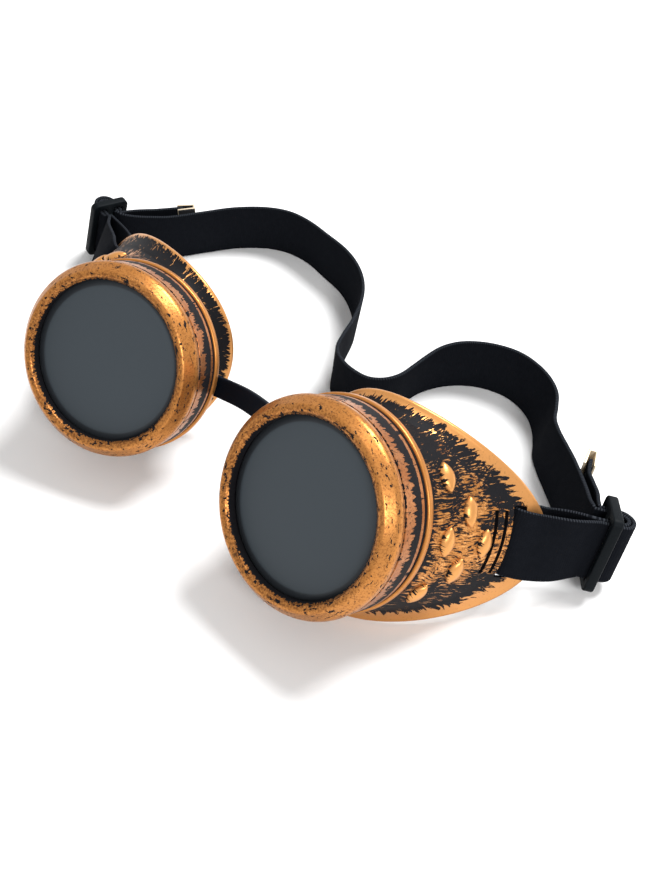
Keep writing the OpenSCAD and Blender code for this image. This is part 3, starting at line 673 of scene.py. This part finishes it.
class Net:
    """Short names for the nodes of one material or group."""

    def __init__(self, tree):
        self.tree = tree

    def node(self, kind, **values):
        n = self.tree.nodes.new(kind)
        for key, value in values.items():
            setattr(n, key, value)
        return n

    def put(self, socket, value):
        if isinstance(value, bpy.types.NodeSocket):
            self.tree.links.new(value, socket)
        elif value is not None:
            socket.default_value = value

    def math(self, op, a, b=None, c=None):
        n = self.node("ShaderNodeMath", operation=op)
        for socket, value in zip(n.inputs, (a, b, c)):
            self.put(socket, value)
        return n.outputs[0]

    def plus(self, a, b):
        return self.math("ADD", a, b)

    def minus(self, a, b):
        return self.math("SUBTRACT", a, b)

    def times(self, a, b):
        return self.math("MULTIPLY", a, b)

    def line(self, a, slope, offset):
        return self.math("MULTIPLY_ADD", a, slope, offset)

    def swing(self, a):
        """Turns a value from 0 to 1 into one from -1 to 1."""
        return self.line(a, 2.0, -1.0)

    def most(self, a, b):
        return self.math("MAXIMUM", a, b)

    def size(self, a):
        return self.math("ABSOLUTE", a)

    def attr(self, name, out="Vector"):
        return self.node("ShaderNodeAttribute", attribute_name=name).outputs[out]

    def split(self, vector):
        n = self.node("ShaderNodeSeparateXYZ")
        self.put(n.inputs[0], vector)
        return n.outputs

    def join(self, x, y, z):
        n = self.node("ShaderNodeCombineXYZ")
        for socket, value in zip(n.inputs, (x, y, z)):
            self.put(socket, value)
        return n.outputs[0]

    def noise(self, vector, scale, detail=3.0, rough=0.55):
        n = self.node("ShaderNodeTexNoise")
        self.put(n.inputs["Vector"], vector)
        n.inputs["Scale"].default_value = scale
        n.inputs["Detail"].default_value = detail
        n.inputs["Roughness"].default_value = rough
        return n.outputs["Fac"]

    def step(self, value, low, high):
        """0 at the low value, 1 at the high one, and smooth between them."""
        n = self.node("ShaderNodeMapRange", interpolation_type="SMOOTHSTEP")
        self.put(n.inputs["Value"], value)
        self.put(n.inputs["From Min"], low)
        self.put(n.inputs["From Max"], high)
        return n.outputs["Result"]

    def mix(self, f, a, b):
        n = self.node("ShaderNodeMix", data_type="RGBA")
        self.put(n.inputs[0], f)
        self.put(n.inputs[6], a)
        self.put(n.inputs[7], b)
        return n.outputs[2]

    def blend(self, f, a, b):
        n = self.node("ShaderNodeMix", data_type="FLOAT")
        self.put(n.inputs[0], f)
        self.put(n.inputs[2], a)
        self.put(n.inputs[3], b)
        return n.outputs[0]

    def bump(self, shader, height, strength, distance):
        n = self.node("ShaderNodeBump")
        n.inputs["Strength"].default_value = strength
        n.inputs["Distance"].default_value = distance
        self.put(n.inputs["Height"], height)
        self.put(shader.inputs["Normal"], n.outputs[0])


def new_material(name):
    m = bpy.data.materials.new(name)
    m.use_nodes = True
    net = Net(m.node_tree)
    shader = next(n for n in m.node_tree.nodes if n.type == "BSDF_PRINCIPLED")
    return m, net, shader


def new_group(name, ins, outs):
    g = bpy.data.node_groups.new(name, "ShaderNodeTree")
    for key, kind in ins:
        g.interface.new_socket(key, in_out="INPUT", socket_type=kind)
    for key, kind in outs:
        g.interface.new_socket(key, in_out="OUTPUT", socket_type=kind)
    net = Net(g)
    a, b = net.node("NodeGroupInput"), net.node("NodeGroupOutput")
    return g, net, a.outputs, b.inputs


def set_finish(shader, rough, shine, metallic=0.0):
    shader.inputs["Roughness"].default_value = rough
    shader.inputs["Specular IOR Level"].default_value = shine
    shader.inputs["Metallic"].default_value = metallic


NUMBER, VECTOR, COLOUR = "NodeSocketFloat", "NodeSocketVector", "NodeSocketColor"


def worn_copper_group():
    """Copper rubbed over black: the cover says where copper shows, gold and pale how bright it is
    there, and the stain input how much of it is browned, by stains and, on the ring's bead, by
    painted shade."""
    ins = [("Place", VECTOR), ("Cover", NUMBER), ("Gold", NUMBER), ("Stain_and_shade", NUMBER),
           ("Pale", NUMBER)]
    outs = [("Color", COLOUR), ("Metallic", NUMBER), ("Roughness", NUMBER), ("Height", NUMBER)]
    g, net, i, o = new_group("Worn copper", ins, outs)
    tone = net.noise(i["Place"], scale=0.14, detail=2.0)
    fine = net.noise(i["Place"], scale=1.5, detail=4.0, rough=0.75)
    copper = net.mix(net.step(tone, 0.35, 0.65), COPPER_DEEP, COPPER_PINK)
    copper = net.mix(i["Gold"], copper, GOLD)
    copper = net.mix(i["Pale"], copper, COPPER_PALE)
    speck = net.line(i["Stain_and_shade"], 0.3, fine)
    copper = net.mix(net.times(net.step(speck, 0.5, 0.72), 0.8), copper, COPPER_STAIN)
    cover = net.step(i["Cover"], 0.42, 0.58)
    net.put(o["Color"], net.mix(cover, net.mix(fine, SOOT, SOOT_PALE), copper))
    net.put(o["Metallic"], net.times(cover, 0.72))
    net.put(o["Roughness"], net.blend(cover, 0.55, net.line(fine, 0.24, 0.2)))
    net.put(o["Height"], net.plus(net.times(cover, 0.6), net.times(fine, 0.5)))
    return g


def use_copper(net, shader, place, cover, gold, stain_and_shade, pale=0.0):
    """Feeds a material's shader from the worn copper."""
    n = net.node("ShaderNodeGroup", node_tree=worn_copper)
    for name, value in (("Place", place), ("Cover", cover), ("Gold", gold), ("Stain_and_shade", stain_and_shade),
                        ("Pale", pale)):
        net.put(n.inputs[name], value)
    for target, name in (("Base Color", "Color"), ("Metallic", "Metallic"),
                         ("Roughness", "Roughness")):
        net.put(shader.inputs[target], n.outputs[name])
    shader.inputs["Specular IOR Level"].default_value = 0.06
    net.bump(shader, n.outputs["Height"], strength=0.4, distance=0.00015)


Spot = namedtuple("Spot", "place angle radius height wrap")


def round_place(net, seed=0.0):
    """Where a point is: its place, its turn and radius about the lens axis, its
    height, and a place wrapped round the axis for streaks without a seam."""
    x, y, z = net.split(net.attr("local"))
    radius = net.math("SQRT", net.plus(net.times(x, x), net.times(y, y)))
    wrap = tuple(net.times(net.math("DIVIDE", w, radius), RING_R) for w in (x, y))
    return Spot(net.join(x, y, net.plus(z, seed)), net.math("ARCTAN2", y, x), radius, z, wrap)


def outside(net, zone):
    """1 on the zones that are painted, 0 inside."""
    return net.step(zone, INSIDE + 0.4, INSIDE + 0.6)


def streaks(net, wrap, along, across, length, seed, detail, rough):
    """Noise in streaks: their width and length in millimetres."""
    x, y = (net.math("DIVIDE", way, across) for way in wrap)
    z = net.line(along, 1 / length, seed)
    return net.noise(net.join(x, y, z), 1.0, detail, rough)


def ring_material(name, seed):
    """Bead and band: nicks on the bead, ragged dark lines at opening and groove,
    and saw teeth where the copper ends before the collar, with a thin line after.
    Towards the opening the bead has more nicks, and more brown specks as painted shade."""
    m, net, shader = new_material(name)
    spot = round_place(net, seed)
    z, radius = spot.height, spot.radius
    jag = net.swing(streaks(net, spot.wrap, z, across=0.9, length=9.0, seed=seed, detail=5.0,
                            rough=0.62))
    slow = net.swing(net.noise(spot.place, scale=0.13, detail=2.0))

    teeth = net.plus(net.times(jag, 4.6), net.times(slow, 2.2))
    band = net.step(net.plus(z, teeth), TEETH_Z, TEETH_Z + 0.4)
    last_line = net.step(net.plus(z, net.times(teeth, -0.12)), LAST_LINE_Z, LAST_LINE_Z - 0.15)
    band = net.most(band, last_line)

    from_line = net.size(net.plus(z, -LINE_Z))
    ragged = net.plus(net.times(jag, 0.9), net.times(slow, 0.55))
    groove = net.step(net.minus(from_line, ragged), 0.3, 0.4)

    ragged = net.plus(net.times(jag, 1.3), net.times(slow, 0.4))
    mouth = net.step(net.minus(radius, ragged), OPENING_R + 0.1, OPENING_R + 0.24)

    bead_turn = net.math("ARCTAN2", net.minus(z, -BEAD_HALF), net.minus(radius, BEAD_R))
    nicks = streaks(net, spot.wrap, net.times(BEAD_HALF, bead_turn), across=2.1, length=0.85,
                    seed=seed + 7, detail=4.0, rough=0.66)
    crowd = net.step(net.noise(spot.place, scale=0.17, detail=2.0), 0.42, 0.62)
    # Towards the opening: more nicks as wear, and more brown specks as painted shade.
    inner = net.times(net.step(radius, OPENING_R + 3.2, OPENING_R + 0.8),
                      net.step(z, LINE_Z, LINE_Z + 1))
    limit = net.minus(net.line(crowd, -0.06, 0.64), net.times(inner, 0.05))
    whole = net.step(net.minus(limit, nicks), -0.012, 0.012)

    cover = net.times(net.times(band, groove), net.times(mouth, whole))
    cover = net.times(cover, outside(net, net.attr("zone", "Fac")))
    gold = net.times(net.step(z, LINE_Z, LINE_Z + 1.5), 0.75)
    # The stain rises towards the opening: painted shade on top of an even stain.
    use_copper(net, shader, spot.place, cover, gold, stain_and_shade=net.line(inner, 0.3, 0.12))
    return m


def cup_material(name, seed, lip_clean):
    """Body in brush strokes of gold on black, the lip and collar in clean copper
    with ragged edges, and the bumps rubbed bright."""
    m, net, shader = new_material(name)
    spot = round_place(net, seed)
    place, z = spot.place, spot.height
    zone = net.attr("zone", "Fac")
    past_body = net.step(zone, LIP, LIP + 0.1)
    is_bump = net.times(net.step(zone, BUMP - 1, BUMP - 0.9),
                        net.step(zone, COLLAR_FRONT - 0.2, COLLAR_FRONT - 0.3))
    is_collar = net.step(zone, COLLAR_FRONT - 0.2, COLLAR_FRONT - 0.1)

    sway = net.times(net.noise(place, scale=0.09, detail=1.0), 5.0)
    wrap = tuple(net.plus(w, sway) for w in spot.wrap)
    long = streaks(net, wrap, z, across=0.55, length=6.5, seed=seed, detail=3.0, rough=0.6)
    short = streaks(net, wrap, z, across=0.34, length=2.8, seed=seed + 3, detail=3.0, rough=0.65)
    jag = net.swing(streaks(net, wrap, z, across=0.8, length=8.0, seed=seed + 5, detail=4.0,
                            rough=0.62))
    stroke = net.plus(net.times(long, 0.55), net.times(short, 0.45))

    side = net.size(net.minus(spot.angle, 0.08))
    depth = net.times(net.step(z, COLLAR_END + 0.4, COLLAR_END - 3),
                      net.step(zone, LIP + 0.02, LIP - 0.28))
    dense = net.times(net.step(side, 1.15, 0.3), depth)
    patch = net.noise(place, scale=0.1, detail=2.0)
    level = net.plus(net.line(dense, -0.112, 0.612), net.line(patch, -0.36, 0.18))
    body = net.line(net.minus(stroke, level), 6.0, 0.5)

    curl = net.size(net.minus(net.noise(place, scale=0.55, detail=1.0), 0.5))
    worm = net.times(net.step(curl, 0.035, 0.015),
                     net.step(net.noise(place, scale=0.3, detail=1.0), 0.5, 0.56))
    worm = net.times(worm, net.times(net.step(side, 1.6, 2.2),
                                     net.step(z, BUMP_TOP - 3, BUMP_TOP)))
    body = net.most(body, worm)

    lip_edge = net.line(net.math("SINE", spot.angle), 0.17, lip_clean)
    lip = net.step(net.minus(net.line(jag, 0.75, zone), lip_edge), 0, 0.06)
    bump = net.step(net.line(jag, 0.7, zone), BUMP - 0.38, BUMP - 0.32)
    collar = net.step(net.line(jag, 0.12, zone), COLLAR_FRONT + 0.04, COLLAR_FRONT + 0.12)
    cover = net.blend(is_bump, net.most(body, lip), bump)
    cover = net.blend(is_collar, cover, collar)
    cover = net.times(cover, outside(net, zone))

    gold = net.most(net.most(is_bump, net.times(dense, 0.8)), net.times(past_body, 0.75))
    pale = net.times(net.step(stroke, 0.5, 0.66),
                     net.step(net.noise(place, scale=0.22, detail=1.0), 0.4, 0.6))
    pale = net.times(net.blend(past_body, pale, 0.45),
                     net.step(zone, COLLAR_FRONT - 0.1, COLLAR_FRONT - 0.2))
    clean = net.most(is_bump, net.times(past_body, 0.35))
    use_copper(net, shader, place, cover, gold, stain_and_shade=net.minus(0.15, clean), pale=pale)
    return m


def webbing_material():
    """Fine ribs across the band, a plainer edge and pale threads along the border."""
    m, net, shader = new_material("webbing")
    place = net.attr("local")
    along, across = net.split(place)[:2]
    half = STRAP_W / 2
    rib = net.math("SINE", net.times(along, 2 * math.pi / RIB))
    cross = net.math("SINE", net.times(across, 2 * math.pi / WEAVE))
    edge = net.step(net.size(across), half - 1.3, half - 1)
    border = net.times(net.step(net.size(across), half - 0.45, half - 0.2), 0.55)
    tone = net.noise(place, scale=0.5, detail=2.0)
    base = net.mix(tone, WEBBING_DARK, WEBBING_PALE)
    base = net.mix(net.times(border, net.step(rib, -0.4, 0.6)), base, WEBBING_EDGE)
    net.put(shader.inputs["Base Color"], base)
    set_finish(shader, rough=0.9, shine=0.015)
    height = net.plus(net.times(rib, net.blend(edge, 0.35, 1.0)), net.times(cross, 0.3))
    net.bump(shader, height, strength=0.5, distance=0.00012)
    return m


def plain_material(name, colour, rough, metallic=0.0, grain=0.0, shine=0.5):
    m, net, shader = new_material(name)
    coords = net.node("ShaderNodeTexCoord").outputs["Object"]
    tone = net.noise(coords, scale=260.0)
    dark = tuple(c * 0.86 for c in colour) + (1,)
    net.put(shader.inputs["Base Color"], net.mix(tone, dark, tuple(colour) + (1,)))
    set_finish(shader, rough, shine, metallic)
    if grain:
        net.bump(shader, tone, strength=grain, distance=0.0001)
    return m


def lens_material():
    """Dark glass, paler at the top as a painted reflection, and with painted shade close to the
    ring.
    """
    m, net, shader = new_material("dark lens")
    spot = round_place(net)
    shade = net.step(spot.radius, LENS_FLAT + 0.6, LENS_FLAT + 1.2)
    # Painted reflection: the glass grows paler towards its top.
    high = net.line(net.split(spot.place)[1], 0.012, 0.5)
    colour = net.mix(high, LENS_LOW, LENS_TOP_REFLECTING)
    net.put(shader.inputs["Base Color"], net.mix(shade, colour, LENS_SHADE))
    set_finish(shader, rough=0.45, shine=0.25)
    return m


worn_copper = worn_copper_group()
webbing = webbing_material()
dark_lens = lens_material()
rubber = plain_material("black rubber", (0.0035, 0.0055, 0.010), 0.6, grain=0.1, shine=0.08)
black = plain_material("black hollow", (0.004, 0.004, 0.005), 0.7, shine=0.05)
plastic = plain_material("black plastic", (0.0045, 0.0062, 0.0078), 0.5, grain=0.08, shine=0.05)
nickel = plain_material("nickel plate", (0.74, 0.62, 0.45), 0.4, metallic=0.3, shine=0.3)
# The darker plate on the left clip's flat sides is painted shade.
shaded_clip_plate = plain_material("dark plate", (0.06, 0.06, 0.065), 0.3, metallic=0.7)


# The pieces.

def ride(obj, body, slot, *nodes):
    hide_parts(*nodes)
    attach(obj, body)
    return obj


def build_cup(s, side):
    name = side + "_cup_dressed"
    material = cup_material(side + " cup copper", SEED[s], LIP_CLEAN[s])
    bm = bmesh.new()
    loft(bm, *shell_rows(), wrap=True)
    outward(bm)
    shell = piece(bm, name, [material, black])
    bm = cut(shell, cup_cutter())
    trim = cup_trim()
    bm.from_mesh(trim)
    bpy.data.meshes.remove(trim)
    keep_place(bm)
    cup = piece(bm, name, [material, black], CUP[s])
    ride(cup, side + "_cup_body", "copper_paint", side + "_cup")


def build_ring(s, side):
    bm = bmesh.new()
    spin_profile(bm, *ring_profile())
    outward(bm)
    keep_place(bm)
    material = ring_material(side + " ring copper", SEED[s])
    ring = piece(bm, side + "_ring_dressed", [material], CUP[s])
    ride(ring, side + "_ring_body", "copper_paint", side + "_lens_ring")


def build_lens(s, side):
    """A flat disc whose edge steps down under the ring's lip."""
    bm = bmesh.new()
    top, pole = -LIP_T - LENS_SINK, 0.01
    profile = [(pole, top), (LENS_FLAT, top), (LENS_FLAT + 0.8, top - 0.05),
               (LENS_R - 0.4, top - 0.5), (LENS_R, top - 0.8), (LENS_R, top - LENS_T),
               (pole, top - LENS_T)]
    spin_profile(bm, profile, [BODY] * len(profile), steps=LENS_STEPS)
    outward(bm)
    keep_place(bm)
    lens = piece(bm, side + "_lens_dressed", [dark_lens], CUP[s])
    ride(lens, side + "_lens_body", "dark_lens", side + "_lens")


def dress_gasket(side):
    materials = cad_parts[side + "_gasket"].data.materials
    materials.clear()
    materials.append(rubber)


def build_slider(s, side):
    """A flat plate with two slots and softened edges."""
    bm = bmesh.new()
    near, far = -SLIDER_BAR / 2, SLIDER_LEN - SLIDER_BAR / 2
    h, r = SLIDER_HIGH / 2, SLIDER_CORNER
    outer = []
    for cx, cy, a in ((far - r, h - r, 0), (near + r, h - r, 90),
                      (near + r, r - h, 180), (far - r, r - h, 270)):
        outer += arc(cx, cy, r, a, a + 90, 6)
    loops = [outer]
    half, tall = SLIDER_SLOT / 2, STRAP_W / 2 + SLIDER_SIDE
    for cx in (FRONT_SLOT, REAR_SLOT):
        loops.append([(cx - half, -tall), (cx - half, tall), (cx + half, tall), (cx + half, -tall)])
    edges = []
    for pts in loops:
        vs = [bm.verts.new((x, -SLIDER_T / 2, z)) for x, z in pts]
        edges += [bm.edges.new((vs[i], vs[(i + 1) % len(vs)])) for i in range(len(vs))]
    bmesh.ops.triangle_fill(bm, edges=edges, use_beauty=True)
    for v in points_of(bmesh.ops.extrude_face_region(bm, geom=list(bm.faces))["geom"]):
        v.co.y = SLIDER_T / 2
    outward(bm)
    corners = [e for e in bm.edges if len(e.link_faces) == 2 and e.calc_face_angle(0) > BAR_CORNER]
    soften(bm, corners, SLIDER_ROUND, 3)
    slider = piece(bm, side + "_slider_dressed", [plastic], SLIDER[s])
    ride(slider, side + "_slider_body", "slider_plastic", side + "_slider")


def build_tail(s, side):
    tail = strap(tail_line(s), side + "_tail_dressed")
    ride(tail, side + "_slider_body", "webbing", side + "_strap_tail")


def clip_leaf(side, fold):
    return [(CLIP_LEN - CLIP_T, side * (fold / 2 - CLIP_T)), (0, side * (CLIP_OPEN / 2 - CLIP_T)),
            (0, side * CLIP_OPEN / 2), (CLIP_LEN, side * fold / 2)]


def build_clip(s, side):
    """Sheet folded over the webbing's end. The left one has painted shade on its flat sides."""
    line = tail_line(s)
    way = (line[-1][0] - line[-2][0]).normalized()
    out = line[-1][1].cross(way).normalized()
    place = Matrix((way, out, way.cross(out))).transposed().to_4x4()
    place.translation = line[-1][0]
    fold = STRAP_T + 2 * CLIP_T + 2 * CLIP_PLAY
    bm = bmesh.new()
    outline = clip_leaf(1, fold) + clip_leaf(-1, fold)[::-1]
    verts = [bm.verts.new((x - CLIP_BITE, y, -STRAP_W / 2)) for x, y in outline]
    for quad in ((0, 1, 2, 3), (4, 5, 6, 7), (0, 3, 4, 7)):
        bm.faces.new([verts[i] for i in quad])
    grown = bmesh.ops.extrude_face_region(bm, geom=list(bm.faces))["geom"]
    bmesh.ops.translate(bm, vec=(0, 0, STRAP_W), verts=points_of(grown))
    outward(bm)
    for f in bm.faces:
        # The left clip's flat sides get the darker plate as painted shade.
        f.material_index = 0 if s == LEFT and abs(f.normal.y) > 0.8 else 1
    soften(bm, [e for e in bm.edges if e.calc_face_angle(0) > SHARP], 0.2, 2, material=1)
    clip = piece(bm, side + "_clip_dressed", [shaded_clip_plate, nickel], place)
    ride(clip, side + "_slider_body", "clip_metal", side + "_end_clip")


def build_loop(s, side):
    """From the slider round the cup and back, as one piece."""
    loop = strap(loop_line(s), side + "_loop_dressed")
    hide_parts(side + "_strap_loop")
    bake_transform(loop)


def build_nose():
    strip = ribbon(nose_line(), STRIP_W, STRIP_T, STRIP_EDGE, "nose_strip_dressed", rubber)
    ride(strip, "strap_body", "strip_rubber", "nose_strip")
    for s, side in SIDES:
        bm = bmesh.new()
        box_mesh(bm, (NOSE_R - STRIP_HEAD_IN, 0, NOSE_Z), (STRIP_HEAD_T, STRIP_HEAD, STRIP_HEAD_H),
                 turn(NOSE_A, "Z"))
        soften(bm, list(bm.edges), 0.4, 2)
        head = piece(bm, side + "_strip_head", [rubber], CUP[s])
        ride(head, "strap_body", "strip_rubber", "nose_strip")


def build_head_strap():
    """Four lengths, cut at the bends and in the middle."""
    line = head_line()
    left_bend, left_rest = head_station(HEAD_LEFT_BEND), head_station(HEAD_LEFT_REST)
    right_bend, right_rest = head_station(HEAD_RIGHT_BEND), head_station(HEAD_RIGHT_REST)
    middle, last = head_station(HEAD_MIDDLE), len(line) - 1
    for name, first, end, body, other, near, far in (
            ("left_strap_end", 0, left_bend, "left_slider_body", "left_cup_body", 0, left_bend),
            ("left_strap_half", left_bend, middle, "left_cup_body", "strap_body",
             left_bend, left_rest),
            ("right_strap_half", middle, right_bend, "right_cup_body", "strap_body",
             right_bend, right_rest),
            ("right_strap_end", right_bend, last, "right_slider_body", "right_cup_body",
             last, right_bend)):
        obj = strap(line[first:end + 1], name)
        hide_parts("head_strap")
        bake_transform(obj)


# Floor, lights and camera.

def build_stage():
    bm = bmesh.new()
    bmesh.ops.create_grid(bm, x_segments=1, y_segments=1, size=3)
    mesh = bpy.data.meshes.new("floor")
    bm.to_mesh(mesh)
    bm.free()
    floor = bpy.data.objects.new("floor", mesh)
    floor.location.z = -0.2 * MM
    m, net, shader = new_material("floor paper")
    coords = net.node("ShaderNodeTexCoord").outputs["Object"]
    tone = net.noise(coords, scale=3.0, detail=2.0)
    net.put(shader.inputs["Base Color"], net.mix(tone, PAPER, PAPER_PALE))
    set_finish(shader, rough=0.9, shine=0.0)
    mesh.materials.append(m)
    bpy.context.collection.objects.link(floor)


def area(name, at, target, size, power):
    data = bpy.data.lights.new(name, "AREA")
    data.shape = "DISK"
    data.size = size
    data.energy = power
    lamp = bpy.data.objects.new(name, data)
    lamp.location = at
    lamp.rotation_euler = (Vector(target) - Vector(at)).to_track_quat("-Z", "Y").to_euler()
    bpy.context.collection.objects.link(lamp)


def build_light():
    """A white world to look at, half as strong as a light, and two round lamps."""
    world = bpy.data.worlds.new("studio")
    world.use_nodes = True
    net = Net(world.node_tree)
    back = next(n for n in world.node_tree.nodes if n.type == "BACKGROUND")
    back.inputs["Color"].default_value = WHITE
    path = net.node("ShaderNodeLightPath").outputs
    seen = net.most(path["Is Camera Ray"], path["Is Transmission Ray"])
    seen = net.most(seen, path["Is Glossy Ray"])
    net.put(back.inputs["Strength"], net.blend(seen, 0.5, 1.0))
    bpy.context.scene.world = world
    area("key", at=(0.15, 0.6, 0.95), target=(0, 0, 0.02), size=0.5, power=18)
    area("front", at=(0.75, -0.35, 0.6), target=(0.03, -0.02, 0.02), size=0.3, power=4)


def build_camera():
    data = bpy.data.cameras.new("camera")
    data.lens = CAMERA_LENS
    data.sensor_width = CAMERA_SENSOR
    camera = bpy.data.objects.new("camera", data)
    forward, right = CAMERA_FORWARD.normalized(), CAMERA_RIGHT.normalized()
    up = right.cross(forward).normalized()
    place = Matrix((right, up, -forward)).transposed().to_4x4()
    place.translation = (HOME + CAMERA_AT) * MM
    camera.matrix_world = place
    bpy.context.collection.objects.link(camera)
    bpy.context.scene.camera = camera


for s, side in SIDES:
    build_cup(s, side)
    build_ring(s, side)
    build_lens(s, side)
    dress_gasket(side)
    build_slider(s, side)
    build_tail(s, side)
    build_clip(s, side)
    build_loop(s, side)
build_nose()
build_head_strap()
build_stage()
build_light()
build_camera()
bpy.context.scene.view_settings.view_transform = "Standard"
